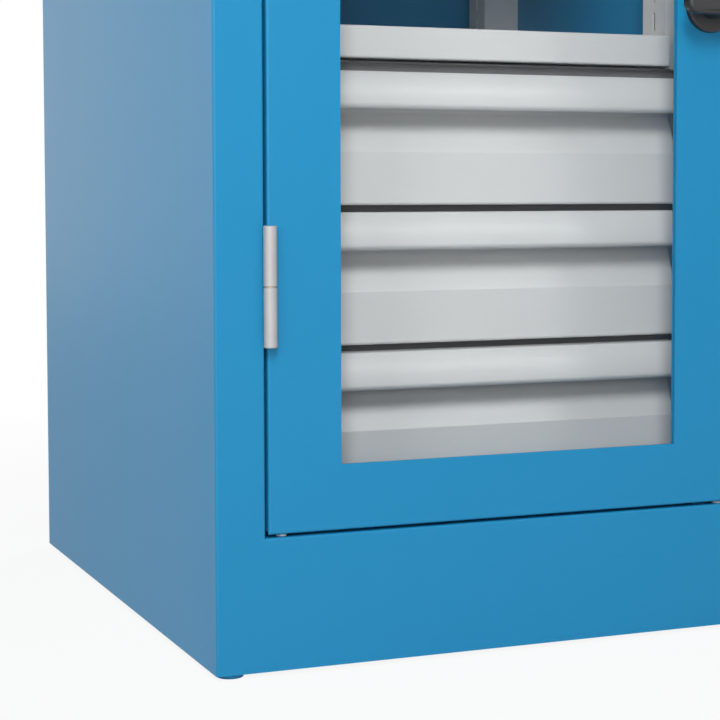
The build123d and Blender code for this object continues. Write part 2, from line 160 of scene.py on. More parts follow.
class SurfaceEffects:
    """Shader node groups that several finishes share."""

    @staticmethod
    def new_group(name: str, scales: Sequence[str]) -> tuple[NodeBench, Node, Node]:
        """Start a group with a vector, a colour and some numbers going in.

        Args:
            name: The group's name.
            scales: The names of the number inputs that only this group has.

        Returns:
            The bench of the group's tree, its input node and its output node.
        """
        tree = bpy.data.node_groups.new(name, "ShaderNodeTree")
        sockets = tree.interface
        sockets.new_socket("Vector", in_out="INPUT", socket_type="NodeSocketVector")
        sockets.new_socket("Colour", in_out="INPUT", socket_type="NodeSocketColor")
        for number in ("Mottle", "Roughness", "Roughness Spread", *scales):
            sockets.new_socket(number, in_out="INPUT", socket_type="NodeSocketFloat")
        sockets.new_socket("Colour", in_out="OUTPUT", socket_type="NodeSocketColor")
        for number in ("Roughness", "Height"):
            sockets.new_socket(number, in_out="OUTPUT", socket_type="NodeSocketFloat")
        bench = NodeBench(tree)
        return bench, bench.add("NodeGroupInput"), bench.add("NodeGroupOutput")

    @staticmethod
    def fill_outputs(
        bench: NodeBench,
        given: Node,
        made: Node,
        clouds: NodeSocket,
        grain: NodeSocket,
        height: NodeSocket,
    ) -> None:
        """Feed a group's outputs: a mottled colour, an uneven roughness and a relief.

        Args:
            bench: The group's bench.
            given: The group's input node.
            made: The group's output node.
            clouds: The noise that lightens and darkens the colour.
            grain: The noise that the roughness follows.
            height: The relief.
        """
        light = bench.math("ADD", bench.swing(clouds, given.outputs["Mottle"]), 1.0)
        shade = bench.add("ShaderNodeHueSaturation", Color=given.outputs["Colour"], Value=light)
        spread = bench.swing(grain, given.outputs["Roughness Spread"])
        roughness = bench.math("ADD", spread, given.outputs["Roughness"])
        bench.feed(made.inputs["Colour"], shade.outputs["Color"])
        bench.feed(made.inputs["Roughness"], roughness)
        bench.feed(made.inputs["Height"], height)

    @classmethod
    def skin(cls) -> NodeTree:
        """Make the group for a sprayed or moulded skin: soft waves, fine grain, faint mottle.

        Returns:
            The group, made when it is first asked for.
        """
        name = "skin_texture"
        if name in bpy.data.node_groups:
            return bpy.data.node_groups[name]
        scales = ("Wave Scale", "Grain Scale", "Grain Share")
        bench, given, made = cls.new_group(name, scales)
        place = given.outputs["Vector"]
        waves = bench.noise(place, scale=given.outputs["Wave Scale"], detail=1.0)
        grain = bench.noise(place, scale=given.outputs["Grain Scale"], detail=2.0)
        clouds = bench.noise(place, scale=9.0, detail=3.0)
        fine = bench.math("MULTIPLY", grain, given.outputs["Grain Share"])
        cls.fill_outputs(bench, given, made, clouds, grain, bench.math("ADD", waves, fine))
        return bench.tree

    @classmethod
    def drawn_metal(cls) -> NodeTree:
        """Make the group for drawn or plated metal: long streaks over soft clouds.

        Returns:
            The group, made when it is first asked for.
        """
        name = "drawn_metal"
        if name in bpy.data.node_groups:
            return bpy.data.node_groups[name]
        bench, given, made = cls.new_group(name, ("Streak Scale", "Streak Stretch"))
        place = given.outputs["Vector"]
        squeeze = bench.add("ShaderNodeCombineXYZ", X=1.0, Y=1.0, Z=given.outputs["Streak Stretch"])
        along = bench.add("ShaderNodeVectorMath")
        along.operation = "MULTIPLY"
        bench.feed(along.inputs[0], place)
        bench.feed(along.inputs[1], squeeze.outputs["Vector"])
        streak_scale = given.outputs["Streak Scale"]
        streaks = bench.noise(along.outputs["Vector"], scale=streak_scale, detail=3.0)
        clouds = bench.noise(place, scale=60.0, detail=2.0)
        cls.fill_outputs(bench, given, made, clouds, streaks, streaks)
        return bench.tree


@dataclass(frozen=True)
class Finish:
    """What all finishes have: a name, the record's slot and a colour in linear light."""

    name: str
    slot: str
    colour: Colour

    def material(self) -> Material:
        """Make the finish's material.

        Returns:
            The material, made when it is first asked for.
        """
        if self.name in bpy.data.materials:
            return bpy.data.materials[self.name]
        material = bpy.data.materials.new(self.name)
        material.use_nodes = True
        material.node_tree.nodes.clear()
        bench = NodeBench(material.node_tree)
        self.lay(bench, bench.add("ShaderNodeOutputMaterial"))
        return material

    def lay(self, bench: NodeBench, output: Node) -> None:
        """Build the shader into a cleared tree; each kind of finish has its own way."""
        raise NotImplementedError

    def effect(self, bench: NodeBench, tree: NodeTree, **numbers: float) -> Node:
        """Place a shared effect on Object coordinates with this finish's colour.

        Args:
            bench: The material's bench.
            tree: The effect's node group.
            numbers: The group's number inputs, named with _ for a space.

        Returns:
            The group's node.
        """
        node = bench.tree.nodes.new("ShaderNodeGroup")
        node.node_tree = tree
        place = bench.add("ShaderNodeTexCoord")
        bench.feed(node.inputs["Vector"], place.outputs["Object"])
        bench.feed(node.inputs["Colour"], (*self.colour, 1.0))
        for name, value in numbers.items():
            bench.feed(node.inputs[name.replace("_", " ")], value)
        return node

    def surface(self, bench: NodeBench, effect: Node, relief: float) -> Node:
        """Add a Principled shader that takes colour, roughness and relief from an effect.

        Args:
            bench: The material's bench.
            effect: The placed effect.
            relief: The height of the effect's relief.

        Returns:
            The shader node.
        """
        height = effect.outputs["Height"]
        bump = bench.add("ShaderNodeBump", Height=height, Distance=relief, Strength=1.0)
        return bench.add(
            "ShaderNodeBsdfPrincipled",
            Base_Color=effect.outputs["Colour"],
            Roughness=effect.outputs["Roughness"],
            Normal=bump.outputs["Normal"],
        )


@dataclass(frozen=True)
class PowderCoat(Finish):
    """Satin powder coat with a faint orange peel."""

    roughness: float = 0.45
    specular: float = 0.3
    relief: float = 0.00002

    def lay(self, bench: NodeBench, output: Node) -> None:
        """Build the coat's shader.

        Args:
            bench: The material's bench.
            output: The material's output node.
        """
        effect = self.effect(
            bench,
            SurfaceEffects.skin(),
            Mottle=0.03,
            Wave_Scale=420.0,
            Grain_Scale=2600.0,
            Grain_Share=0.25,
            Roughness=self.roughness,
            Roughness_Spread=0.12,
        )
        shader = self.surface(bench, effect, self.relief)
        bench.feed(shader.inputs["Specular IOR Level"], self.specular)
        bench.feed(output.inputs["Surface"], shader.outputs["BSDF"])


@dataclass(frozen=True)
class Moulding(Finish):
    """Moulded plastic or rubber with a fine eroded texture."""

    roughness: float = 0.5
    grain: float = 1800.0
    relief: float = 0.00003

    def lay(self, bench: NodeBench, output: Node) -> None:
        """Build the moulding's shader.

        Args:
            bench: The material's bench.
            output: The material's output node.
        """
        effect = self.effect(
            bench,
            SurfaceEffects.skin(),
            Mottle=0.08,
            Wave_Scale=90.0,
            Grain_Scale=self.grain,
            Grain_Share=0.8,
            Roughness=self.roughness,
            Roughness_Spread=0.2,
        )
        shader = self.surface(bench, effect, self.relief)
        bench.feed(output.inputs["Surface"], shader.outputs["BSDF"])


@dataclass(frozen=True)
class PlatedMetal(Finish):
    """Plated or bare metal with drawn streaks."""

    roughness: float = 0.35
    stretch: float = 0.06
    metallic: float = 1.0
    relief: float = 0.00001

    def lay(self, bench: NodeBench, output: Node) -> None:
        """Build the metal's shader.

        Args:
            bench: The material's bench.
            output: The material's output node.
        """
        effect = self.effect(
            bench,
            SurfaceEffects.drawn_metal(),
            Streak_Scale=900.0,
            Streak_Stretch=self.stretch,
            Mottle=0.12,
            Roughness=self.roughness,
            Roughness_Spread=0.18,
        )
        shader = self.surface(bench, effect, self.relief)
        bench.feed(shader.inputs["Metallic"], self.metallic)
        bench.feed(output.inputs["Surface"], shader.outputs["BSDF"])


@dataclass(frozen=True)
class ClearPane(Finish):
    """Clear sheet that lets lamp light through to what is behind it."""

    def lay(self, bench: NodeBench, output: Node) -> None:
        """Build the pane's shader.

        Args:
            bench: The material's bench.
            output: The material's output node.
        """
        tint = (*self.colour, 1.0)
        glass = bench.add(
            "ShaderNodeBsdfPrincipled",
            Base_Color=tint,
            Roughness=0.0,
            IOR=1.15,
            Transmission_Weight=1.0,
        )
        clear = bench.add("ShaderNodeBsdfTransparent", Color=tint)
        path = bench.add("ShaderNodeLightPath")
        lit = bench.math("MAXIMUM", path.outputs["Is Shadow Ray"], path.outputs["Is Diffuse Ray"])
        seen = bench.add("ShaderNodeMixShader", Fac=lit)
        bench.feed(seen.inputs[1], glass.outputs["BSDF"])
        bench.feed(seen.inputs[2], clear.outputs["BSDF"])
        bench.feed(output.inputs["Surface"], seen.outputs["Shader"])


BLUE = PowderCoat("blue_powder_coat", "blue_paint", (0.0105, 0.236, 0.466), specular=0.32)
GREY = PowderCoat(
    "grey_powder_coat", "grey_paint", (0.641, 0.635, 0.626), roughness=0.36, specular=0.5
)
# Painted shade: this dark grey stands in for the deep shade in the gaps above the drawers, not for
# the rails' own paint.
PAINTED_SHADE_COAT = PowderCoat(
    "painted_shade_coat", "dark_grey_paint", (0.2, 0.201, 0.203), roughness=0.6, specular=0.2
)
HINGE = PlatedMetal("bright_zinc", "hinge_steel", (0.45, 0.45, 0.453), roughness=0.6, metallic=0.4)
ZINC = PlatedMetal("zinc_plate", "zinc_steel", (0.62, 0.63, 0.65))
PANE = ClearPane("clear_sheet", "clear_pane", (0.97, 0.985, 0.99))
RUBBER = Moulding("black_rubber_skin", "black_rubber", (0.02, 0.02, 0.021), roughness=0.7)
BLACK = Moulding("black_moulding", "black_plastic", (0.022, 0.022, 0.024), roughness=0.42)
NYLON = Moulding("white_nylon_skin", "white_nylon", (0.82, 0.82, 0.8), roughness=0.4)
BRASS = PlatedMetal("plain_brass", "washer_brass", (0.72, 0.5, 0.2), roughness=0.3)
CHROME = PlatedMetal("polished_chrome", "cylinder_chrome", (0.72, 0.73, 0.75), roughness=0.14)


def dress(finish: Finish, *names: str) -> None:
    """Give frame nodes a finish.

    Args:
        finish: The finish.
        names: The nodes' names.
    """
    for name in names:
        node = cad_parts[name]
        node.data.materials.clear()
        node.data.materials.append(finish.material())
        log.info("%s: %s", name, finish.name)


def edges_at(verts: Sequence[BMVert]) -> list[BMEdge]:
    """Return the edges at some points, each of them once."""
    return list(dict.fromkeys(edge for vert in verts for edge in vert.link_edges))


class Shell:
    """Closed bodies in the making, shaped by mesh operators."""

    def __init__(self) -> None:
        """Start with an empty mesh."""
        self.mesh = bmesh.new()

    def block(self, low: Vector, high: Vector) -> None:
        """Add a box.

        Args:
            low: Its lowest corner.
            high: Its highest corner.
        """
        made = bmesh.ops.create_cube(self.mesh, size=1.0)
        bmesh.ops.scale(self.mesh, verts=made["verts"], vec=high - low)
        bmesh.ops.translate(self.mesh, verts=made["verts"], vec=(low + high) / 2)

    def turned(
        self, outline: Outline, foot: Vector, facing: Facing, ring: bool = False, steps: int = 48
    ) -> None:
        """Add a body of revolution.

        Args:
            outline: Pairs of radius and height, from the axis back to it, or all round a ring.
            foot: Where the axis starts.
            facing: The way that the heights run.
            ring: Whether the outline closes on itself clear of the axis.
            steps: How many flats make a full turn.
        """
        part = bmesh.new()
        verts = [part.verts.new((radius, 0.0, height)) for radius, height in outline]
        ends = verts + verts[:1] if ring else verts
        edges = [part.edges.new(pair) for pair in zip(ends, ends[1:])]
        bmesh.ops.spin(
            part,
            geom=verts + edges,
            cent=(0.0, 0.0, 0.0),
            axis=Facing.UP.value,
            angle=math.tau,
            steps=steps,
            use_merge=True,
        )
        bmesh.ops.remove_doubles(part, verts=part.verts, dist=MERGE_DISTANCE)
        bmesh.ops.recalc_face_normals(part, faces=part.faces)
        self.stand(part, foot, facing)

    def stand(self, part: BMesh, foot: Vector, facing: Facing) -> None:
        """Put a part that was made upright at the origin in its place, and take it over.

        Args:
            part: The part's mesh.
            foot: Where its foot goes.
            facing: The way its top then looks.
        """
        turn = Vector(Facing.UP.value).rotation_difference(Vector(facing.value))
        place = Matrix.Translation(foot) @ turn.to_matrix().to_4x4()
        bmesh.ops.transform(part, matrix=place, verts=part.verts)
        self.take(part)

    def take(self, part: BMesh) -> None:
        """Take over another mesh and free it.

        Args:
            part: The other mesh.
        """
        held = bpy.data.meshes.new("held")
        part.to_mesh(held)
        part.free()
        self.mesh.from_mesh(held)
        bpy.data.meshes.remove(held)

    def round_edges(self, edges: Sequence[BMEdge], width: float, segments: int) -> None:
        """Round some of the edges.

        Args:
            edges: The edges.
            width: How far the rounding reaches from an edge.
            segments: How many flats it has.
        """
        bmesh.ops.bevel(
            self.mesh,
            geom=edges,
            offset=width,
            offset_type="OFFSET",
            affect="EDGES",
            segments=segments,
            profile=0.5,
            material=-1,
            clamp_overlap=True,
        )

    def soften(self, width: float, segments: int = 3, limit: float = 50.0) -> None:
        """Round the edges between faces that meet at more than an angle.

        Args:
            width: How far the rounding reaches from the edge.
            segments: How many flats it has.
            limit: The angle in degrees.
        """
        least = math.radians(limit)
        sharp = [e for e in self.mesh.edges if e.is_manifold and e.calc_face_angle() > least]
        self.round_edges(sharp, width, segments)

    def finish(self, name: str, body: str, finish: Finish, replaces: Sequence[str] = ()) -> Object:
        """Turn the mesh into a smooth piece that rides on a body.

        Args:
            name: The piece's name.
            body: The body it moves with.
            finish: Its finish.
            replaces: The nodes it stands for.

        Returns:
            The piece.
        """
        data = bpy.data.meshes.new(name)
        self.mesh.to_mesh(data)
        self.mesh.free()
        data.shade_smooth()
        data.set_sharp_from_angle(angle=math.radians(SMOOTH_ANGLE))
        data.materials.append(finish.material())
        piece = bpy.data.objects.new(name, data)
        bpy.context.scene.collection.objects.link(piece)
        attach(piece, body)
        if replaces:
            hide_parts(*replaces)
        log.info("%s on %s: %s", name, body, finish.name)
        return piece


class SheetLine:
    """The middle line of a bent sheet, drawn in the plane x = 0 by a pen that runs and turns."""

    def __init__(self, y: float, z: float, heading: float) -> None:
        """Put the pen down.

        Args:
            y: The pen's depth.
            z: The pen's height.
            heading: Where it looks, in degrees from +Y towards +Z.
        """
        self.mesh = bmesh.new()
        self.tip = self.mesh.verts.new((0.0, y, z))
        self.heading = heading

    def ahead(self) -> Vector:
        """Return the direction the pen looks in."""
        turn = math.radians(self.heading)
        return Vector((0.0, math.cos(turn), math.sin(turn)))

    def run(self, length: float) -> None:
        """Draw straight ahead.

        Args:
            length: How far.
        """
        made = bmesh.ops.extrude_vert_indiv(self.mesh, verts=[self.tip])
        self.tip = made["verts"][0]
        bmesh.ops.translate(self.mesh, verts=[self.tip], vec=self.ahead() * length)

    def bend(self, radius: float, turn: float, steps: int) -> None:
        """Draw an arc.

        Args:
            radius: The arc's radius.
            turn: How far it turns, in degrees from +Y towards +Z.
            steps: How many chords it has.
        """
        inward = Matrix.Rotation(math.copysign(math.pi / 2, turn), 3, "X") @ self.ahead()
        made = bmesh.ops.spin(
            self.mesh,
            geom=[self.tip],
            cent=self.tip.co + inward * radius,
            axis=(1.0, 0.0, 0.0),
            angle=math.radians(turn),
            steps=steps,
        )
        self.tip = next(item for item in made["geom_last"] if isinstance(item, BMVert))
        self.heading += turn

    def corner(self, y: float, z: float, heading: float, radius: float, steps: int = 6) -> None:
        """Run to a corner and round it.

        Args:
            y: The corner's depth.
            z: The corner's height.
            heading: The heading after it.
            radius: The radius of the bend.
            steps: How many chords the bend has.
        """
        turn = heading - self.heading
        reach = (Vector((0.0, y, z)) - self.tip.co).length
        self.run(reach - radius * math.tan(math.radians(abs(turn)) / 2))
        self.bend(radius, turn, steps)

    def sheet(self, x_low: float, x_high: float) -> Shell:
        """Pull the line across into a sheet without thickness.

        Args:
            x_low: Where the sheet starts.
            x_high: Where it ends.

        Returns:
            The sheet, which takes over the line's mesh.
        """
        bmesh.ops.translate(self.mesh, verts=self.mesh.verts, vec=(x_low, 0.0, 0.0))
        made = bmesh.ops.extrude_edge_only(self.mesh, edges=list(self.mesh.edges))
        far = [item for item in made["geom"] if isinstance(item, BMVert)]
        bmesh.ops.translate(self.mesh, verts=far, vec=(x_high - x_low, 0.0, 0.0))
        bmesh.ops.recalc_face_normals(self.mesh, faces=self.mesh.faces)
        shell = Shell()
        shell.take(self.mesh)
        return shell


def thicken(piece: Object, thickness: float, edge: float) -> None:
    """Give a sheet its thickness and take the sharpness off its cut edges.

    Args:
        piece: The sheet's object.
        thickness: The thickness, half on each side.
        edge: How far the rounding of its edges reaches.
    """
    wall = piece.modifiers.new("thickness", "SOLIDIFY")
    wall.thickness = thickness
    wall.offset = 0.0
    wall.use_even_offset = True
    rim = piece.modifiers.new("edge", "BEVEL")
    rim.width = edge
    rim.segments = 2
    rim.limit_method = "ANGLE"
    rim.angle_limit = math.radians(CUT_EDGE_ANGLE)
    even = piece.modifiers.new("flat_faces", "WEIGHTED_NORMAL")
    even.keep_sharp = True


@dataclass
class ScrewHead:
    """Button head with a hexagon socket; the crown is the flat top's share of the width."""

    radius: float = 0.0032
    height: float = 0.0018
    crown: float = 0.7
    socket: float = 0.0014
    depth: float = 0.0012
    rim_sides: int = 24
    socket_sides: int = 6

    def add(self, shell: Shell, foot: Vector, facing: Facing) -> None:
        """Add one head to a shell.

        Args:
            shell: The shell it joins.
            foot: The middle of the face it sits on.
            facing: The way it looks.
        """
        part = bmesh.new()
        sides = self.rim_sides
        rim = bmesh.ops.create_circle(part, cap_ends=True, radius=self.radius, segments=sides)
        edges = edges_at(rim["verts"])
        edges = self.raise_rim(part, edges, rise=self.height / 2, scale=1.0)
        edges = self.raise_rim(part, edges, rise=self.height / 2, scale=self.crown)
        sides = self.socket_sides
        hole = bmesh.ops.create_circle(part, cap_ends=False, radius=self.socket, segments=sides)
        bmesh.ops.translate(part, verts=hole["verts"], vec=(0.0, 0.0, self.height))
        mouth = edges_at(hole["verts"])
        bmesh.ops.bridge_loops(part, edges=edges + mouth)
        floor = self.raise_rim(part, mouth, rise=-self.depth, scale=1.0)
        bmesh.ops.edgeloop_fill(part, edges=floor)
        bmesh.ops.recalc_face_normals(part, faces=part.faces)
        shell.stand(part, foot, facing)

    @staticmethod
    def raise_rim(part: BMesh, edges: Sequence[BMEdge], rise: float, scale: float) -> list[BMEdge]:
        """Extrude a loop of edges upwards and draw it in.

        Args:
            part: The head's mesh.
            edges: The loop.
            rise: How far it goes up.
            scale: How wide the new loop is, as a share of the old one.

        Returns:
            The new loop.
        """
        made = bmesh.ops.extrude_edge_only(part, edges=edges)
        verts = [item for item in made["geom"] if isinstance(item, BMVert)]
        bmesh.ops.scale(part, verts=verts, vec=(scale, scale, 1.0))
        bmesh.ops.translate(part, verts=verts, vec=(0.0, 0.0, rise))
        return [item for item in made["geom"] if isinstance(item, BMEdge)]


@dataclass
class Carcass:
    """The folded body, its feet and what is fastened inside it."""

    body: str = "carcass"
    stud_radius: float = 0.004
    foot_rim: float = 0.001
    pad_rim: float = 0.0007

    def build(self) -> None:
        """Build the feet and the pads round the door opening."""
        for corner in Corner:
            self.build_foot(f"{corner.value}_foot")
        self.build_glides()
        self.build_buffers()

    def build_foot(self, node: str) -> None:
        """Build a levelling foot with a rounded rim.

        Args:
            node: The foot's node, which it replaces.
        """
        low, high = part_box(node)
        radius = (high.x - low.x) / 2
        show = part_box("left_side_panel")[0].z
        outline = [
            (0.0, 0.0),
            (radius, 0.0),
            (radius, show),
            (self.stud_radius, show),
            (self.stud_radius, high.z),
            (0.0, high.z),
        ]
        shell = Shell()
        shell.turned(outline, Vector((low.x + radius, low.y + radius, 0.0)), Facing.UP)
        shell.soften(self.foot_rim)
        shell.finish(f"{node}_turned", self.body, BLUE, [node])

    @staticmethod
    def pad_radius() -> float:
        """Return the radius of a glide, which a buffer has too."""
        low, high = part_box("door_glides")
        return (high.y - low.y) / 2

    def build_glides(self) -> None:
        """Build the pads that the door runs up on."""
        low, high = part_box("door_glides")
        radius, height = self.pad_radius(), high.z - low.z
        outline = [(0.0, 0.0), (radius, 0.0), (radius, height), (0.0, height)]
        shell = Shell()
        for x in (low.x + radius, high.x - radius):
            shell.turned(outline, Vector((x, low.y + radius, low.z)), Facing.UP)
        shell.soften(self.pad_rim)
        shell.finish("rounded_door_glides", self.body, NYLON, ["door_glides"])

    def build_buffers(self) -> None:
        """Build the rubber buttons that the door closes on."""
        low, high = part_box("door_buffers")
        radius, height = self.pad_radius(), high.y - low.y
        outline = [(0.0, 0.0), (radius, 0.0), (radius, height), (0.0, height)]
        shell = Shell()
        for x in (low.x + radius, high.x - radius):
            for z in (low.z + radius, high.z - radius):
                shell.turned(outline, Vector((x, high.y, z)), Facing.FRONT)
        shell.soften(self.pad_rim)
        shell.finish("rounded_door_buffers", self.body, RUBBER, ["door_buffers"])

    def dress(self) -> None:
        """Give the body's nodes their finishes."""
        dress(BLUE, "left_side_panel", "right_side_panel", "back_panel", "top_panel", "plinth")
        dress(BLUE, "floor_panel", "foot_brackets")
        for corner in Corner:
            dress(BLUE, f"{corner.value}_foot")
            dress(GREY, f"{corner.value}_upright")
        for level in Level:
            dress(GREY, f"{level.value}_shelf")
            dress(ZINC, f"{level.value}_shelf_hooks")
        # Painted shade: the cross rails take the dark coat so that the gaps above the drawers look
        # shaded.
        dress(PAINTED_SHADE_COAT, "cross_rails")
        dress(NYLON, "door_glides")
        dress(RUBBER, "door_buffers")


@dataclass
class Hinges:
    """Two lift-off barrel hinges on the left edge of the door.

    Attributes:
        leaf: The leaves' thickness.
        bore: The bore's radius.
        pin_hold: How deep the pin sits in the frame's knuckle.
        pin_room: How deep the door's knuckle is bored for the pin.
        barrel_rim: The chamfer at a barrel's ends.
    """

    leaf: float = 0.0012
    bore: float = 0.00305
    pin_hold: float = 0.036
    pin_room: float = 0.031
    barrel_rim: float = 0.0006

    def build(self) -> None:
        """Build the barrels with their leaves."""
        stile_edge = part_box("plinth")[0].x
        door_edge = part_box("door_panel")[0].x
        frame_leaf = (stile_edge, stile_edge + self.leaf)
        door_leaf = (door_edge - self.leaf, door_edge)
        for level in Level:
            frame_knuckle = f"{level.value}_frame_knuckle"
            door_knuckle = f"{level.value}_door_knuckle"
            self.build_knuckle(frame_knuckle, "carcass", frame_leaf, Facing.UP, self.pin_hold)
            self.build_knuckle(door_knuckle, "door", door_leaf, Facing.DOWN, self.pin_room)

    def build_knuckle(
        self, node: str, body: str, leaf: tuple[float, float], facing: Facing, depth: float
    ) -> None:
        """Build one knuckle, bored from the end that meets the other one.

        Args:
            node: The knuckle's node, which it replaces.
            body: The body it moves with.
            leaf: The leaf's two sides across the cabinet.
            facing: The way the bored end looks.
            depth: How deep the bore is.
        """
        low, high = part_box(node)
        radius = (high.x - low.x) / 2
        length = high.z - low.z
        closed_end = low.z if facing is Facing.UP else high.z
        axis = Vector((low.x + radius, low.y + radius, closed_end))
        rim = self.barrel_rim
        outline = [
            (0.0, 0.0),
            (radius - rim, 0.0),
            (radius, rim),
            (radius, length - rim),
            (radius - rim, length),
            (self.bore, length),
            (self.bore, length - depth),
            (0.0, length - depth),
        ]
        shell = Shell()
        shell.turned(outline, axis, facing)
        leaf_front = axis.y + self.bore
        shell.block(Vector((leaf[0], leaf_front, low.z)), Vector((leaf[1], high.y, high.z)))
        shell.finish(f"{node}_turned", body, HINGE, [node])

    def dress(self) -> None:
        """Give the hinges' nodes their finishes."""
        for level in Level:
            dress(HINGE, f"{level.value}_frame_knuckle", f"{level.value}_door_knuckle")
            dress(HINGE, f"{level.value}_hinge_pin")
        dress(BRASS, "hinge_washers")


@dataclass
class Door:
    """The door pan with its window and its lock.

    Attributes:
        body: The body it moves with.
        grip_width: The width of the handle's grip.
        grip_thickness: The grip's thickness.
        grip_end: How round the grip's ends are, as a share of a half circle.
        grip_rim: The rounding of the grip's edges.
        hub_neck: The hub's radius at the grip.
        hub_collar: How far from the door the hub starts to narrow.
        hub_seat: How deep the hub sits in the grip.
        plug_fit: The play round the lock cylinder and round the hub.
        rose_rim: The rounding of the rose's rim.
        case_screw_inset: How far the lock case's screws lie in from its edges.
        retainer_screw_inset: How far the retainer's screws lie in from its edges.
        retainer_screw_count: How many screws each upright of the retainer has.
    """

    body: str = "door"
    grip_width: float = 0.019
    grip_thickness: float = 0.013
    grip_end: float = 0.98
    grip_rim: float = 0.0034
    hub_neck: float = 0.0085
    hub_collar: float = 0.014
    hub_seat: float = 0.001
    plug_fit: float = 0.00005
    rose_rim: float = 0.0022
    case_screw_inset: float = 0.007
    retainer_screw_inset: float = 0.007
    retainer_screw_count: int = 4

    def build(self) -> None:
        """Build the handle, its rose and the screws behind the door."""
        self.build_handle()
        self.build_rose()
        self.build_case_screws()
        self.build_retainer_screws()

    def handle_middle(self) -> Vector:
        """Return the point of the handle's axis on the door's face."""
        low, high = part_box("turn_handle")
        return Vector(((low.x + high.x) / 2, high.y, (low.z + high.z) / 2))

    def hub_radius(self) -> float:
        """Return the radius of the handle's hub at the door."""
        low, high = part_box("turn_handle")
        return (high.z - low.z) / 2

    def build_handle(self) -> None:
        """Build the two-armed grip, rounded all over, on its waisted hub."""
        low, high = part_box("turn_handle")
        middle = self.handle_middle()
        front = Vector((middle.x, low.y, middle.z))
        half = Vector(((high.x - low.x) / 2, 0.0, self.grip_width / 2))
        shell = Shell()
        shell.block(front - half, front + half + Vector((0.0, self.grip_thickness, 0.0)))
        least = self.grip_thickness / 2
        corners = [e for e in shell.mesh.edges if abs((e.verts[0].co - e.verts[1].co).y) > least]
        shell.round_edges(corners, self.grip_end * self.grip_width / 2, segments=10)
        shell.soften(self.grip_rim, segments=5)
        self.bore_plug_seat(shell, front)
        hub = self.hub_radius()
        reach = middle.y - low.y - self.grip_thickness
        outline = [
            (0.0, 0.0),
            (hub, 0.0),
            (hub, self.hub_collar),
            (self.hub_neck, reach),
            (self.hub_neck, reach + self.hub_seat),
            (0.0, reach + self.hub_seat),
        ]
        shell.turned(outline, middle, Facing.FRONT)
        shell.finish("rounded_turn_handle", "handle", BLACK, ["turn_handle"])

    def bore_plug_seat(self, shell: Shell, front: Vector) -> None:
        """Open the middle of the grip's face for the lock cylinder.

        Args:
            shell: The grip.
            front: The middle of its face.
        """
        low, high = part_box("lock_cylinder")
        mesh = shell.mesh
        level = [f for f in mesh.faces if abs(f.calc_center_median().y - front.y) < TOUCH]
        face = max(level, key=lambda item: item.calc_area())
        outer = list(face.edges)
        bmesh.ops.delete(mesh, geom=[face], context="FACES_ONLY")
        radius = (high.x - low.x) / 2 + self.plug_fit
        circle = bmesh.ops.create_circle(mesh, cap_ends=False, radius=radius, segments=len(outer))
        turn = Matrix.Translation(front) @ Matrix.Rotation(math.pi / 2, 4, "X")
        bmesh.ops.transform(mesh, matrix=turn, verts=circle["verts"])
        mouth = edges_at(circle["verts"])
        bmesh.ops.bridge_loops(mesh, edges=outer + mouth)
        made = bmesh.ops.extrude_edge_only(mesh, edges=mouth)
        deep = [item for item in made["geom"] if isinstance(item, BMVert)]
        bmesh.ops.translate(mesh, verts=deep, vec=(0.0, high.y - low.y, 0.0))
        floor = [item for item in made["geom"] if isinstance(item, BMEdge)]
        bmesh.ops.edgeloop_fill(mesh, edges=floor)
        bmesh.ops.recalc_face_normals(mesh, faces=mesh.faces)

    def build_rose(self) -> None:
        """Build the round plate under the handle."""
        low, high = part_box("handle_rose")
        middle = self.handle_middle()
        radius = (high.x - low.x) / 2
        hub = self.hub_radius() + self.plug_fit
        height = high.y - low.y
        outline = [(hub, 0.0), (radius, 0.0), (radius, height), (hub, height)]
        shell = Shell()
        shell.turned(outline, middle, Facing.FRONT, ring=True, steps=64)
        between = (hub + radius) / 2
        front = [e for e in shell.mesh.edges if all(v.co.y < low.y + TOUCH for v in e.verts)]
        rim = [e for e in front if all((v.co - middle).xz.length > between for v in e.verts)]
        shell.round_edges(rim, self.rose_rim, segments=5)
        shell.finish("rounded_handle_rose", self.body, BLACK, ["handle_rose"])

    def build_case_screws(self) -> None:
        """Build the four screws of the lock case."""
        low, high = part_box("lock_case")
        inset = self.case_screw_inset
        shell = Shell()
        for x in (low.x + inset, high.x - inset):
            for z in (low.z + inset, high.z - inset):
                ScrewHead().add(shell, Vector((x, high.y, z)), Facing.BACK)
        shell.finish("lock_case_screws", self.body, ZINC)

    def build_retainer_screws(self) -> None:
        """Build the screws that hold the pane's retainer."""
        low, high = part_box("pane_retainer")
        inset = self.retainer_screw_inset
        spaces = self.retainer_screw_count - 1
        shell = Shell()
        for number in range(self.retainer_screw_count):
            z = low.z + inset + (high.z - low.z - 2 * inset) * number / spaces
            for x in (low.x + inset, high.x - inset):
                ScrewHead().add(shell, Vector((x, high.y, z)), Facing.BACK)
        for z in (low.z + inset, high.z - inset):
            ScrewHead().add(shell, Vector(((low.x + high.x) / 2, high.y, z)), Facing.BACK)
        shell.finish("retainer_screws", self.body, ZINC)

    def dress(self) -> None:
        """Give the door's nodes their finishes."""
        dress(BLUE, "door_panel", "pane_retainer")
        dress(PANE, "window_pane")
        dress(RUBBER, "window_seal")
        dress(ZINC, "lock_case", "rod_guides", "handle_spindle")
        dress(ZINC, *(f"{level.value}_lock_rod" for level in Level))
        dress(BLACK, "turn_handle", "handle_rose")
        dress(CHROME, "lock_cylinder")


